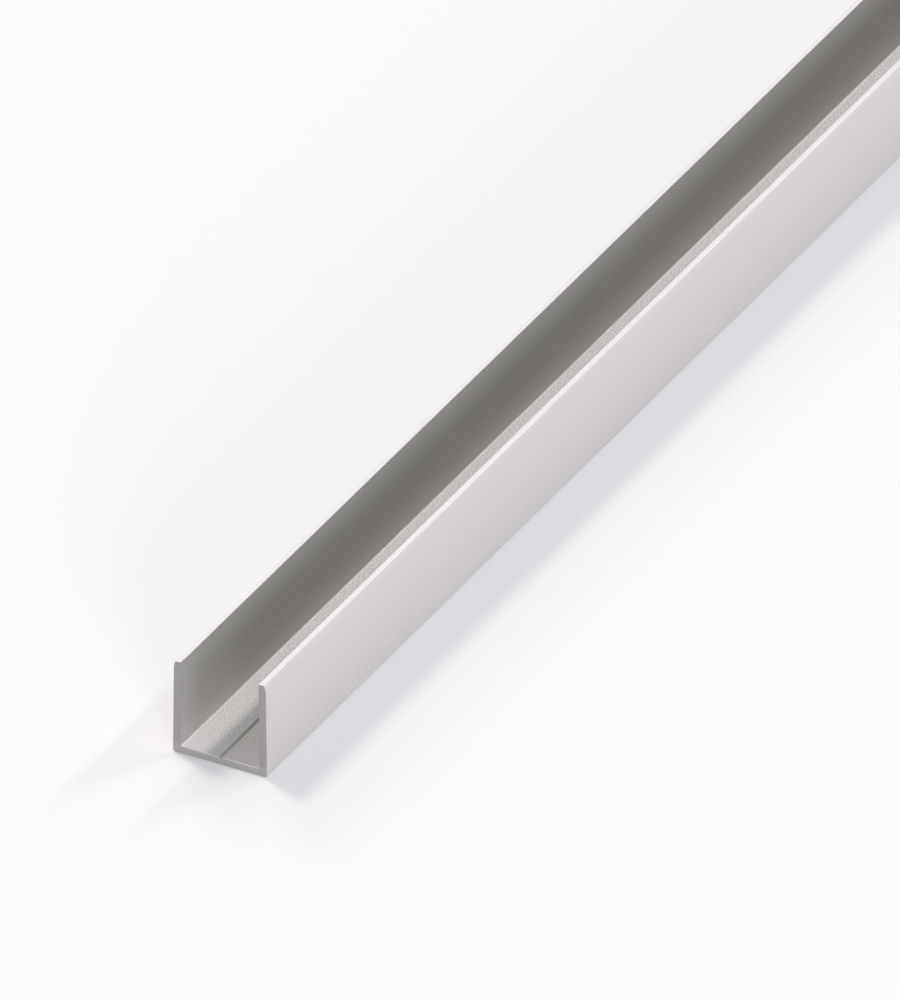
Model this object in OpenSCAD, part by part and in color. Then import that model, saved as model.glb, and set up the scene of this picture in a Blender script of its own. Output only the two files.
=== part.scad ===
// Square U-section channel, extruded in one piece from aluminium and satin anodised.
// It lies on its web with the open side up. The section is in the XZ plane and is
// mirrored about X = 0. The length runs along Y. The origin is under the middle of the web.

/* [Section] */
// Width across the outside of the two flanges, at the underside of the web
section_w = 20; // [14:0.5:40]
// Height from the underside of the web to the flange tips
section_h = 20; // [12:0.5:40]
// Thickness of the web
web_t = 1.5; // [1.2:0.1:3]
// Thickness of each flange
flange_t = 1.5; // [1.2:0.1:3]
// How far each flange leans in at its tip
toe_in = 0.25; // [0:0.05:0.5]

/* [Edges] */
// Radius of the two outer corners under the web
base_corner_r = 0.4; // [0.2:0.05:0.8]
// Radius of the fillets where the flanges meet the inside of the web
inner_fillet_r = 0.4; // [0.2:0.05:0.8]
// How far below the tip the outer shoulder of a flange turns in
shoulder_d = 1; // [1:0.1:2]
// How far the shoulder has turned in where it reaches the tip
shoulder_in = 0.4; // [0.2:0.05:0.6]
// How far the arc of the shoulder's bend runs to each side of the bend
shoulder_run = 0.7; // [0.2:0.05:0.75]
// Radius of the two edges along each flange tip
tip_edge_r = 0.2; // [0.1:0.05:0.25]

/* [Centre groove] */
// Width of the drilling groove along the middle of the web, at its mouth
groove_w = 0.8; // [0.4:0.1:1.6]
// Depth of the drilling groove
groove_d = 0.4; // [0.2:0.05:0.8]

/* [Stock] */
// Length that the stock is cut to
stock_l = 1000; // [100:50:3000]

/* [Hidden] */
anodised_silver = [0.80, 0.79, 0.80];
arc_fn = 64;
// Each corner's arc laps over its two sides by this much, and so crosses them
arc_lap = 0.001;

// How far a flange leans in for each millimetre of height
lean = toe_in / section_h;

// Distance from the middle of the section to a flange's outer and inner face at height z
function flange_outer_x(z) = section_w / 2 - lean * z;
function flange_inner_x(z) = flange_outer_x(z) - flange_t;

// The shoulder turns in from the leaning face by this angle, on an arc of this radius
shoulder_turn = atan(shoulder_in / shoulder_d + lean) - atan(lean);
shoulder_r = shoulder_run / tan(shoulder_turn / 2);

// Corners of the right half, from the underside up and over the tip to the groove: [x, z, radius]
right_corners = [
    [section_w / 2, 0, base_corner_r],
    [flange_outer_x(section_h - shoulder_d), section_h - shoulder_d, shoulder_r],
    [flange_outer_x(section_h) - shoulder_in, section_h, tip_edge_r],
    [flange_inner_x(section_h), section_h, tip_edge_r],
    [flange_inner_x(web_t), web_t, inner_fillet_r],
    [groove_w / 2, web_t, 0]
];
groove_bottom = [0, web_t - groove_d, 0];
left_corners = [
    for (i = [len(right_corners) - 1:-1:0])
        [-right_corners[i][0], right_corners[i][1], right_corners[i][2]]
];
section_corners = concat(right_corners, [groove_bottom], left_corners);

function point(corner) = [corner[0], corner[1]];
function unit(v) = v / norm(v);
function turns_left(a, b) = a[0] * b[1] - a[1] * b[0] > 0;

// The sliver between a corner's tip and the arc of radius r that rounds it, drawn past the corner
// on to the mirror image of the arc's centre.
// to_last and to_next are unit vectors along the corner's two sides.
module corner_sliver(tip, to_last, to_next, r) {
    half_angle = acos(to_last * to_next) / 2;
    reach = r / tan(half_angle);
    centre = tip + unit(to_last + to_next) * r / sin(half_angle);
    rim = [tip + to_next * reach, tip, tip + to_last * reach];
    difference() {
        polygon(concat([centre], [for (p = rim) 2 * p - centre]));
        translate(centre) circle(r + arc_lap, $fn = arc_fn);
    }
}

// The slivers of all outer corners, or of all inner corners, of a counter-clockwise outline
module corner_slivers(corners, outer) {
    n = len(corners);
    for (i = [0:n - 1]) {
        tip = point(corners[i]);
        to_last = unit(point(corners[(i + n - 1) % n]) - tip);
        to_next = unit(point(corners[(i + 1) % n]) - tip);
        r = corners[i][2];
        if (r > 0 && turns_left(to_next, to_last) == outer)
            corner_sliver(tip, to_last, to_next, r);
    }
}

module section() {
    difference() {
        union() {
            polygon([for (corner = section_corners) point(corner)]);
            corner_slivers(section_corners, outer = false);
        }
        corner_slivers(section_corners, outer = true);
    }
}

module u_profile() {
    color(anodised_silver)
        rotate([90, 0, 0])
            linear_extrude(height = stock_l, center = true)
                section();
}

u_profile();
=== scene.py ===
# %% [markdown]
# A U channel of satin anodised aluminium.
# This lesson dresses one length of extruded channel, 20 mm square with a 1.5 mm wall and 1 m long.
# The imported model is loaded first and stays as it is: it gives the places and the outer sizes.
# Each later step makes one thing, either a shape or a finish, and prints what it made.

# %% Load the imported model
import math

import bmesh
import bpy
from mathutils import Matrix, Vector


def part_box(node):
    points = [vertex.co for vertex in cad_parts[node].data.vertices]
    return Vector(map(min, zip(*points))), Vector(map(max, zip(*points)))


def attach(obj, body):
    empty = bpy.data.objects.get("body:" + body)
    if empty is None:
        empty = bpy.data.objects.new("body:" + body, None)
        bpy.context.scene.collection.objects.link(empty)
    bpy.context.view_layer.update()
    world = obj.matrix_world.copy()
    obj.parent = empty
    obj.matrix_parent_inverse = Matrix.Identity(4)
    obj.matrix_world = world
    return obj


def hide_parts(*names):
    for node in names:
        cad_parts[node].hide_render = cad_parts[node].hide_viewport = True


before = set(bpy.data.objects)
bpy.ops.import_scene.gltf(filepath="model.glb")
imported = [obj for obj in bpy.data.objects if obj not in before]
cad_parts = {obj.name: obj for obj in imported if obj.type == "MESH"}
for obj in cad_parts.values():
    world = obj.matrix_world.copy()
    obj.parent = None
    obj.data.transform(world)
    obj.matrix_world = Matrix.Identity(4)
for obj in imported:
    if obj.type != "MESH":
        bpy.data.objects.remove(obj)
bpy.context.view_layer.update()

scene = bpy.context.scene
scene.view_settings.view_transform = "Standard"

# %% [markdown]
# The sizes of the section.
# An extruded profile is one drawing, its section, pushed out to a length. So a few sizes give the
# whole shape: the outside, the wall, the roundings and the drilling groove along the middle of the web.
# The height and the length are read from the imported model. The finer sizes are written out here.

# %% Sizes of the section, in metres
MM = 0.001

box_low, box_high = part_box("u_profile")
near_end = box_low.y
far_end = box_high.y
section_h = box_high.z

section_w = 20 * MM
wall_t = 1.5 * MM
toe_in = 0.25 * MM
base_corner_r = 0.4 * MM
inner_fillet_r = 0.4 * MM
shoulder_d = 1.0 * MM
shoulder_in = 0.4 * MM
shoulder_run = 0.7 * MM
tip_edge_r = 0.2 * MM
groove_w = 0.8 * MM
groove_d = 0.4 * MM
lean = toe_in / section_h


def outer_x(z):
    """Distance from the middle of the section to a flange's outer face at height z."""
    return section_w / 2 - lean * z


def inner_x(z):
    """The same to a flange's inner face."""
    return outer_x(z) - wall_t


print("the flange tips stand", round(2 * inner_x(section_h) / MM, 2), "mm apart")

# %% [markdown]
# The block that becomes the web.
# The section could be typed in as points and filled. A maker at the screen would rather start from
# a box that is the web and pull the two flanges out of it, because then each edge can be picked by
# its place and rounded by itself. The cuts across the box mark where the flanges and the groove go.

# %% Add the web and cut it along its length
bpy.ops.object.select_all(action="DESELECT")
bpy.ops.mesh.primitive_cube_add(
    size=1,
    location=(0, (near_end + far_end) / 2, wall_t / 2),
    scale=(section_w, far_end - near_end, wall_t),
)
channel = bpy.context.object
channel.name = "channel"
channel.data.name = "channel"
bpy.ops.object.transform_apply(location=True, rotation=True, scale=True)

bpy.ops.object.mode_set(mode="EDIT")
flange_root_x = inner_x(wall_t)
for cut_x in (-flange_root_x, -groove_w / 2, 0, groove_w / 2, flange_root_x):
    bpy.ops.mesh.select_all(action="SELECT")
    bpy.ops.mesh.bisect(plane_co=(cut_x, 0, 0), plane_no=(1, 0, 0))
print("the web has", len(bmesh.from_edit_mesh(channel.data).faces), "faces after its cuts")

# %% [markdown]
# Picking by place.
# Every later step acts on what is selected, so one helper clears the selection and selects the
# vertices, edges or faces that pass a test. Most tests ask for a place in the section, left and right
# at once, so a second helper compares a vertex with a distance from the middle and a height.

# %% Helpers that select by place
NEAR = 0.002 * MM
LEVEL = 0.9


def pick(kind, test):
    """Select only the vertices, edges or faces that pass the test, and say how many there are."""
    bpy.ops.mesh.select_mode(type=kind)
    bpy.ops.mesh.select_all(action="DESELECT")
    mesh = bmesh.from_edit_mesh(channel.data)
    parts = {"VERT": mesh.verts, "EDGE": mesh.edges, "FACE": mesh.faces}[kind]
    found = [part for part in parts if test(part)]
    for part in found:
        part.select_set(True)
    bmesh.update_edit_mesh(channel.data)
    return len(found)


def at(x, z):
    """A test for vertices at this distance from the middle, on either side, and at this height."""
    return lambda vertex: abs(abs(vertex.co.x) - x) < NEAR and abs(vertex.co.z - z) < NEAR


def bring_to(x_now, x_new):
    """Bring the selected vertices of both sides from one distance from the middle to another."""
    bpy.ops.transform.resize(value=(x_new / x_now, 1, 1), center_override=(0, 0, 0))


print(pick("VERT", at(section_w / 2, 0)), "vertices at the outer corners of the underside")

# %% [markdown]
# The flanges.
# The strips outside the two outer cuts are pulled up to the height of the section. On a real profile
# the flanges often toe in a little as the metal cools, and here each tip sits a quarter of a
# millimetre inwards, so the rows of vertices are brought in by the lean at their height.

# %% Pull up the flanges and lean them in
pick("FACE", lambda face: face.normal.z > LEVEL and abs(face.calc_center_median().x) > flange_root_x)
bpy.ops.mesh.extrude_region_move(TRANSFORM_OT_translate={"value": (0, 0, section_h - wall_t)})

pick("VERT", at(section_w / 2, wall_t))
bring_to(section_w / 2, outer_x(wall_t))
pick("VERT", at(section_w / 2, section_h))
bring_to(section_w / 2, outer_x(section_h))
pick("VERT", at(flange_root_x, section_h))
bring_to(flange_root_x, inner_x(section_h))
top = max(vertex.co.z for vertex in bmesh.from_edit_mesh(channel.data).verts)
print("the flanges reach", round(top / MM, 2), "mm")

# %% [markdown]
# The shoulders and the groove.
# Each flange has a soft outer shoulder just below its tip. A cut across the flanges marks where it
# starts, and the outer edge of the tip is then brought in. The drilling groove keeps a drill's point
# on the middle of the web. It is made by lowering the middle cut, which leaves a shallow V.

# %% Shape the shoulders and the drilling groove
SAME_PLANE = math.radians(0.1)
shoulder_z = section_h - shoulder_d
bpy.ops.mesh.select_all(action="SELECT")
bpy.ops.mesh.bisect(plane_co=(0, 0, shoulder_z), plane_no=(0, 0, 1))
pick("VERT", at(outer_x(section_h), section_h))
bring_to(outer_x(section_h), outer_x(section_h) - shoulder_in)

pick("VERT", at(0, wall_t))
bpy.ops.transform.translate(value=(0, 0, -groove_d))

bpy.ops.mesh.select_mode(type="FACE")
bpy.ops.mesh.select_all(action="SELECT")
bpy.ops.mesh.dissolve_limited(angle_limit=SAME_PLANE)
print("the plain section has", len(bmesh.from_edit_mesh(channel.data).faces), "faces")

# %% [markdown]
# Rounding the long edges.
# A die has no sharp corners, because the metal has to flow round them, so no long edge of a profile
# is sharp. Rounded edges also carry the bright lines that make it look like metal. The bevel tool
# asks how far a rounding reaches along the two faces, so each radius is turned into that reach
# with the angle between the faces.

# %% Round the long edges
def reach(radius, degrees_between_faces):
    """How far an arc of this radius reaches along two faces that meet at this angle."""
    return radius / math.tan(math.radians(degrees_between_faces) / 2)


def round_long_edges(x, z, offset, segments):
    """Round the edges that run along the length at this place of the section, on both sides."""
    here = at(x, z)
    count = pick("EDGE", lambda edge: all(here(v) for v in edge.verts) and edge.calc_length() > section_w)
    bpy.ops.mesh.bevel(offset=offset, offset_type="OFFSET", segments=segments, profile=0.5, affect="EDGES")
    return count


lean_angle = math.degrees(math.atan(lean))
shoulder_angle = math.degrees(math.atan(shoulder_in / shoulder_d + lean))
tip_outer_x = outer_x(section_h) - shoulder_in

rounded = [
    round_long_edges(section_w / 2, 0, reach(base_corner_r, 90 - lean_angle), segments=7),
    round_long_edges(flange_root_x, wall_t, reach(inner_fillet_r, 90 - lean_angle), segments=7),
    round_long_edges(outer_x(shoulder_z), shoulder_z, shoulder_run, segments=8),
    round_long_edges(tip_outer_x, section_h, reach(tip_edge_r, 90 + shoulder_angle), segments=5),
    round_long_edges(inner_x(section_h), section_h, reach(tip_edge_r, 90 - lean_angle), segments=6),
]
print("long edges rounded at each place:", rounded)

# %% [markdown]
# The sawn ends.
# A length of stock is cut off with a fine circular saw and its ends are wiped with a file, so the
# rim of each end has a tiny broken edge, not a razor-sharp one. A narrow bevel round the rim does that.

# %% Break the rims of the two sawn ends
END_RIM = 0.08 * MM
END_SEGMENTS = 2


def on_one_end(edge):
    """Whether both vertices of an edge lie on the same end."""
    places = [vertex.co.y for vertex in edge.verts]
    return max(places) < near_end + NEAR or min(places) > far_end - NEAR


rim_edges = pick("EDGE", on_one_end)
bpy.ops.mesh.bevel(
    offset=END_RIM, offset_type="OFFSET", segments=END_SEGMENTS, profile=0.5, affect="EDGES"
)
bpy.ops.mesh.select_all(action="SELECT")
bpy.ops.mesh.remove_doubles(threshold=NEAR / 4)
bpy.ops.mesh.normals_make_consistent(inside=False)
bpy.ops.object.mode_set(mode="OBJECT")
print(rim_edges, "rim edges broken,", len(channel.data.polygons), "faces in all")

# %% [markdown]
# Shading.
# The arcs have to look round and the flats have to stay flat. Smooth shading alone would bend the
# light on the wide flats, so the Weighted Normal modifier lets the large faces decide.

# %% Shade the arcs smooth and keep the flats flat
SMOOTH_BELOW = math.radians(40)
bpy.ops.object.shade_smooth_by_angle(angle=SMOOTH_BELOW)
flats_first = channel.modifiers.new("flats first", "WEIGHTED_NORMAL")
flats_first.mode = "FACE_AREA"
flats_first.weight = 100
flats_first.keep_sharp = True
bpy.ops.object.modifier_apply(modifier=flats_first.name)
print("the channel has", sum(len(p.vertices) - 2 for p in channel.data.polygons), "triangles")

# %% [markdown]
# Colours and nodes.
# Colours are written as they look on a screen, in hex, and one function turns them to the linear
# values that the renderer works in. A second one adds a node, sets it up, links it and gives back the
# output that is asked for, so each material below reads as a short list of what it is made of.

# %% Helpers for colours and nodes
def linear(hex_colour):
    """A screen colour such as C8C4C6 as linear red, green, blue and alpha."""
    channels = [int(hex_colour[i:i + 2], 16) / 255 for i in (0, 2, 4)]
    return [c / 12.92 if c <= 0.04045 else ((c + 0.055) / 1.055) ** 2.4 for c in channels] + [1.0]


def add_node(material, kind, output, inputs, **settings):
    """Add a node with its settings. Its inputs are values, or outputs of other nodes."""
    node = material.node_tree.nodes.new(kind)
    for name, value in settings.items():
        setattr(node, name, value)
    for name, value in inputs.items():
        socket = next(s for s in node.inputs if s.name == name and s.enabled)
        if isinstance(value, bpy.types.NodeSocket):
            material.node_tree.links.new(value, socket)
        else:
            socket.default_value = value
    return next((s for s in node.outputs if s.name == output and s.enabled), None)


def new_material(name):
    """A node material with nothing in it yet."""
    material = bpy.data.materials.new(name)
    material.use_nodes = True
    material.node_tree.nodes.clear()
    return material


print("mid grey 808080 is", round(linear("808080")[0], 3), "in linear light")

# %% [markdown]
# Extruded aluminium.
# Hot metal is pushed through a die, which leaves fine lines along the whole length. Etching and
# anodising then keep the metal's reflection but blur it. Because of the lines, the blur is wide across
# the length and narrow along it, as on brushed metal, and the shader's Anisotropic value makes that.
# Its tangent has to point across the lines, and the radial tangent round Y does so on every face
# of a profile that runs along Y.
# The real lines and the grain of the etch are a few hundredths of a millimetre, too fine to show
# in the render, so both are drawn as coarse as a pixel needs. The recipe can also fade to a lighter
# grey near the tip and the foot of a flange and for the last bit of the length at the ends. These
# fades are painted light: at the tip the light that reaches over the other flange, at the foot a
# painted reflection of the lit floor, and at the ends the light that comes in through the open end.

# %% A recipe for extruded and anodised aluminium
GRAIN = 0.3 * MM
FLECK_LOW, FLECK_HIGH = 0.40, 0.60
DIE_LINE = 0.25 * MM
DIE_LINE_STRETCH = 0.003
RELIEF = 0.01 * MM
BLUR_SPREAD = 0.05
# Painted light: how far the lighter greys reach down from a flange's tip, up from its foot and in from the
# ends.
PAINTED_LIGHT_TIP = 7 * MM
PAINTED_LIGHT_FOOT = 4 * MM
PAINTED_LIGHT_END = 10 * MM


def fade(material, colour, new_colour, place, start, stop):
    """Let a colour change softly to a new one between two places along an axis."""
    share = add_node(material, "ShaderNodeMapRange", "Result", {
        "Value": place, "From Min": start, "From Max": stop,
    }, interpolation_type="SMOOTHSTEP")
    return add_node(material, "ShaderNodeMix", "Result", {
        "Factor": share, "A": colour, "B": linear(new_colour),
    }, data_type="RGBA")


def extruded_aluminium(name, dark, light, metal, blur, lined, grainy, painted_light_near_edges=None, painted_light_at_ends=None):
    """Aluminium flecked with two greys, with a blur, how far it follows the lines, and a grain."""
    material = new_material(name)
    place = add_node(material, "ShaderNodeTexCoord", "Object", {})
    along = add_node(material, "ShaderNodeMapping", "Vector", {
        "Vector": place, "Scale": (1, DIE_LINE_STRETCH, 1),
    })
    lines = add_node(material, "ShaderNodeTexNoise", "Fac", {
        "Vector": along, "Scale": 1 / DIE_LINE, "Detail": 3.0, "Roughness": 0.6,
    })
    grain = add_node(material, "ShaderNodeTexNoise", "Fac", {
        "Vector": place, "Scale": 1 / GRAIN, "Detail": 2.0, "Roughness": 0.7,
    })
    grain_normal = add_node(material, "ShaderNodeBump", "Normal", {
        "Height": grain, "Strength": grainy, "Distance": RELIEF,
    })
    flecks = add_node(material, "ShaderNodeMapRange", "Result", {
        "Value": grain, "From Min": FLECK_LOW, "From Max": FLECK_HIGH,
    })
    colour = add_node(material, "ShaderNodeMix", "Result", {
        "Factor": flecks, "A": linear(dark), "B": linear(light),
    }, data_type="RGBA")
    # Painted light: lighter near the tip and the foot of a flange.
    if painted_light_near_edges:
        z = add_node(material, "ShaderNodeSeparateXYZ", "Z", {"Vector": place})
        colour = fade(material, colour, painted_light_near_edges, z, section_h - PAINTED_LIGHT_TIP, section_h)
        colour = fade(material, colour, painted_light_near_edges, z, wall_t + PAINTED_LIGHT_FOOT, wall_t)
    # Painted light: lighter for the last bit of the length at the ends.
    if painted_light_at_ends:
        y = add_node(material, "ShaderNodeSeparateXYZ", "Y", {"Vector": place})
        from_middle = add_node(material, "ShaderNodeMath", "Value", {"Value": y}, operation="ABSOLUTE")
        colour = fade(material, colour, painted_light_at_ends, from_middle, far_end - PAINTED_LIGHT_END, far_end)
    shader = add_node(material, "ShaderNodeBsdfPrincipled", "BSDF", {
        "Base Color": colour,
        "Metallic": metal,
        "Roughness": add_node(material, "ShaderNodeMapRange", "Result", {
            "Value": lines, "To Min": blur - BLUR_SPREAD, "To Max": blur + BLUR_SPREAD,
        }),
        "Anisotropic": lined,
        "Tangent": add_node(
            material, "ShaderNodeTangent", "Tangent", {}, direction_type="RADIAL", axis="Y"
        ),
        "Normal": add_node(material, "ShaderNodeBump", "Normal", {
            "Height": lines, "Strength": 0.2, "Distance": RELIEF, "Normal": grain_normal,
        }),
    })
    add_node(material, "ShaderNodeOutputMaterial", None, {"Surface": shader})
    channel.data.materials.append(material)
    print(material.name, "has", len(material.node_tree.nodes), "nodes")
    return material


# %% [markdown]
# Three faces of one metal.
# The outside and the flange tips were brushed before anodising and are light and even. The floor
# of the web is etched to a light, sparkling grain. The inner faces of the flanges get a darker,
# warmer grey than the outside, which is painted shade of the inside of the channel, and their
# thicker skin is part metal and part chalky.

# %% Outside, floor and inner faces
satin = extruded_aluminium(
    "satin_aluminium_brushed_and_anodised", "E2DDDE", "E4DFE0",
    metal=1.0, blur=0.50, lined=0.80, grainy=0.25
)
# The floor's even, slightly lighter grey at the ends is painted light too.
grained = extruded_aluminium(
    "grained_aluminium_etched_and_anodised", "D1CDCC", "FDFAF9",
    metal=1.0, blur=0.50, lined=0.90, grainy=0.8, painted_light_at_ends="EBE6E8"
)
# Painted shade: the inner faces get a darker grey than the outside. Their lighter greys near the edges and
# ends are painted light.
dull_and_shaded = extruded_aluminium(
    "dull_aluminium_painted_shade_and_light", "ACAAA8", "B0AEAC",
    metal=0.65, blur=0.55, lined=0.50, grainy=0.25, painted_light_near_edges="BAB8B6", painted_light_at_ends="C4C2C0"
)

# %% [markdown]
# The sawn end.
# A saw leaves bare aluminium with shallow arcs of the blade's teeth across it. It scatters light
# more than the anodised skin and looks darker and greyer. Towards the bottom, over the web, the grey
# fades to a lighter one, painted light that offsets the shaded floor mirrored in the low end.

# %% Sawn aluminium, cut by a circular blade
SAW_MARK = 0.4 * MM
SAW_MARK_DEPTH = 0.02 * MM
SAWN_BLUR = (0.70, 0.85)
BLADE_CENTRE = (40 * MM, 0, -90 * MM)
# Painted light: the end is lighter from this height down to the bottom.
PAINTED_LIGHT_FROM, PAINTED_LIGHT_TO = 3 * MM, 1 * MM

sawn = new_material("bare_aluminium_sawn")
on_end = add_node(sawn, "ShaderNodeTexCoord", "Object", {})
from_blade = add_node(sawn, "ShaderNodeMapping", "Vector", {
    "Vector": on_end, "Location": [-c for c in BLADE_CENTRE],
})
# At a scale of 1, the rings of the wave texture are 2 pi / 20 apart.
saw_marks = add_node(sawn, "ShaderNodeTexWave", "Fac", {
    "Vector": from_blade, "Scale": 2 * math.pi / (20 * SAW_MARK),
    "Distortion": 2.0, "Detail": 2.0, "Detail Scale": 1.0,
}, wave_type="RINGS", rings_direction="Y")
marked = add_node(sawn, "ShaderNodeMix", "Result", {
    "Factor": saw_marks, "A": linear("A9A6A6"), "B": linear("B3B0B0"),
}, data_type="RGBA")
height = add_node(sawn, "ShaderNodeSeparateXYZ", "Z", {"Vector": on_end})
sawn_shader = add_node(sawn, "ShaderNodeBsdfPrincipled", "BSDF", {
    "Base Color": fade(sawn, marked, "BAB7B7", height, PAINTED_LIGHT_FROM, PAINTED_LIGHT_TO),
    "Metallic": 1.0,
    "Roughness": add_node(sawn, "ShaderNodeMapRange", "Result", {
        "Value": saw_marks, "To Min": SAWN_BLUR[0], "To Max": SAWN_BLUR[1],
    }),
    "Normal": add_node(sawn, "ShaderNodeBump", "Normal", {
        "Height": saw_marks, "Strength": 0.3, "Distance": SAW_MARK_DEPTH,
    }),
})
add_node(sawn, "ShaderNodeOutputMaterial", None, {"Surface": sawn_shader})
channel.data.materials.append(sawn)
print(sawn.name, "has marks", SAW_MARK / MM, "mm apart")

# %% [markdown]
# Which face gets which finish.
# The ends are sawn metal, and so are their broken rims, apart from those that look up, which get the
# lighter outside finish as a painted highlight. What lies between the flanges and above the web is
# the inside. There a level face is floor, and the others, with the sides of the groove, are inner faces.

# %% Give each face its finish
LOOKS_UP = 0.3
finishes = list(channel.data.materials)


def finish_of(face):
    """The finish for a face, by its place in the section."""
    x, y, z = abs(face.center.x), face.center.y, face.center.z
    if y < near_end + END_RIM or y > far_end - END_RIM:
        # Painted highlight: rims that look up get the lighter outside finish.
        return satin if face.normal.z > LOOKS_UP else sawn
    if x < inner_x(z) + NEAR and wall_t - groove_d < z < section_h - tip_edge_r:
        return grained if face.normal.z > LEVEL else dull_and_shaded
    return satin


for face in channel.data.polygons:
    face.material_index = finishes.index(finish_of(face))
for finish in finishes:
    count = sum(finishes[face.material_index] == finish for face in channel.data.polygons)
    print(count, "faces of", finish.name)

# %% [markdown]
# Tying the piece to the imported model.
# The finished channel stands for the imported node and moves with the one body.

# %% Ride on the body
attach(channel, "root")
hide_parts("u_profile")
print("channel box", [round(side, 5) for side in channel.dimensions])

# %% [markdown]
# The table.
# A plain pale surface carries the shadow and is mirrored softly in the metal.

# %% Pale floor
FLOOR_SIDE = 40
FLOOR_GAP = 0.02 * MM
bpy.ops.object.select_all(action="DESELECT")
bpy.ops.mesh.primitive_plane_add(size=FLOOR_SIDE, location=(0, 0, -FLOOR_GAP))
floor = bpy.context.object
floor.name = "floor"
table = new_material("matt_pale_table")
table_shader = add_node(table, "ShaderNodeBsdfPrincipled", "BSDF", {
    "Base Color": linear("EDEDF1"), "Roughness": 0.9, "Specular IOR Level": 0.0,
})
add_node(table, "ShaderNodeOutputMaterial", None, {"Surface": table_shader})
floor.data.materials.append(table)
print("floor", FLOOR_SIDE, "m wide")

# %% [markdown]
# Light.
# The picture shows four directions of light. A low lamp in front reaches a little way into the open
# end. One on the left, behind and above, throws the soft shadow to the right. One behind on the left
# makes the flange tips bright. The last, behind on the right, is a strip along the length, made of a
# row of lamps at one slope across the profile, so the right flange draws a clear line on the floor of
# the channel and only a faint shadow on the table. A pale room fills the rest. Sun lamps are used,
# because they light the whole length alike.

# %% Lamps and room
STRIP_AZIMUTHS = (148, 153, 158, 163)
STRIP_SLOPE = 58.3
STRIP_STRENGTH = 0.43
ROOM_STRENGTH = 0.70


def soft_sun(name, towards, strength, degrees_wide, colour="FFFFFF"):
    """A lamp far away in the direction that is given, as wide in the sky as the angle says."""
    lamp = bpy.data.lights.new(name, "SUN")
    lamp.energy = strength
    lamp.angle = math.radians(degrees_wide)
    lamp.color = linear(colour)[:3]
    holder = bpy.data.objects.new(name, lamp)
    holder.rotation_mode = "QUATERNION"
    holder.rotation_quaternion = Vector(towards).to_track_quat("Z", "Y")
    scene.collection.objects.link(holder)
    return holder


def direction(azimuth, elevation):
    """A unit vector that points to this azimuth, from the front over the right side, and elevation."""
    a = math.radians(azimuth)
    e = math.radians(elevation)
    return (math.sin(a) * math.cos(e), -math.cos(a) * math.cos(e), math.sin(e))


soft_sun("front_lamp", direction(40, 8), strength=1.68, degrees_wide=24)
soft_sun("shadow_lamp", direction(246, 59), strength=0.98, degrees_wide=12, colour="FFEEE3")
soft_sun("back_left_lamp", direction(225, 30), strength=0.41, degrees_wide=20)
for azimuth in STRIP_AZIMUTHS:
    rise = math.tan(math.radians(STRIP_SLOPE)) * math.sin(math.radians(azimuth))
    elevation = math.degrees(math.atan(rise))
    share = STRIP_STRENGTH / len(STRIP_AZIMUTHS)
    soft_sun(f"strip_lamp_{azimuth}", direction(azimuth, elevation), strength=share, degrees_wide=4)

world = bpy.data.worlds.new("pale_room")
world.use_nodes = True
world.node_tree.nodes["Background"].inputs["Color"].default_value = linear("FBFFFF")
world.node_tree.nodes["Background"].inputs["Strength"].default_value = ROOM_STRENGTH
scene.world = world
print(len(bpy.data.lights), "lamps and a pale room")

# %% [markdown]
# The camera.
# The long edges run parallel in the picture, so it was taken from far away with a long lens. The
# camera is set so that one corner of the near end falls on its own pixel, at the picture's scale.

# %% Camera
IMAGE_W, IMAGE_H = 900, 1000
SENSOR = 36.0
LENS = 1400.0
CAMERA_AZIMUTH = 28.19
CAMERA_ELEVATION = 31.52
PIXELS_PER_METRE = 5349
CORNER_PIXEL = (266.9, 777.5)

back = Vector(direction(CAMERA_AZIMUTH, CAMERA_ELEVATION))
turn = back.to_track_quat("Z", "Y")
right = turn @ Vector((1, 0, 0))
up = turn @ Vector((0, 1, 0))
near_corner = Vector((section_w / 2, near_end, 0))
distance = LENS / SENSOR * IMAGE_H / PIXELS_PER_METRE
camera_data = bpy.data.cameras.new("camera")
camera_data.lens = LENS
camera_data.sensor_width = SENSOR
camera_data.clip_start = 0.1
camera_data.clip_end = 100
camera = bpy.data.objects.new("camera", camera_data)
camera.rotation_mode = "QUATERNION"
camera.rotation_quaternion = turn
camera.location = (
    near_corner + back * distance
    - right * (CORNER_PIXEL[0] - IMAGE_W / 2) / PIXELS_PER_METRE
    - up * (IMAGE_H / 2 - CORNER_PIXEL[1]) / PIXELS_PER_METRE
)
scene.collection.objects.link(camera)
scene.camera = camera
print("camera", round(distance, 2), "m away")
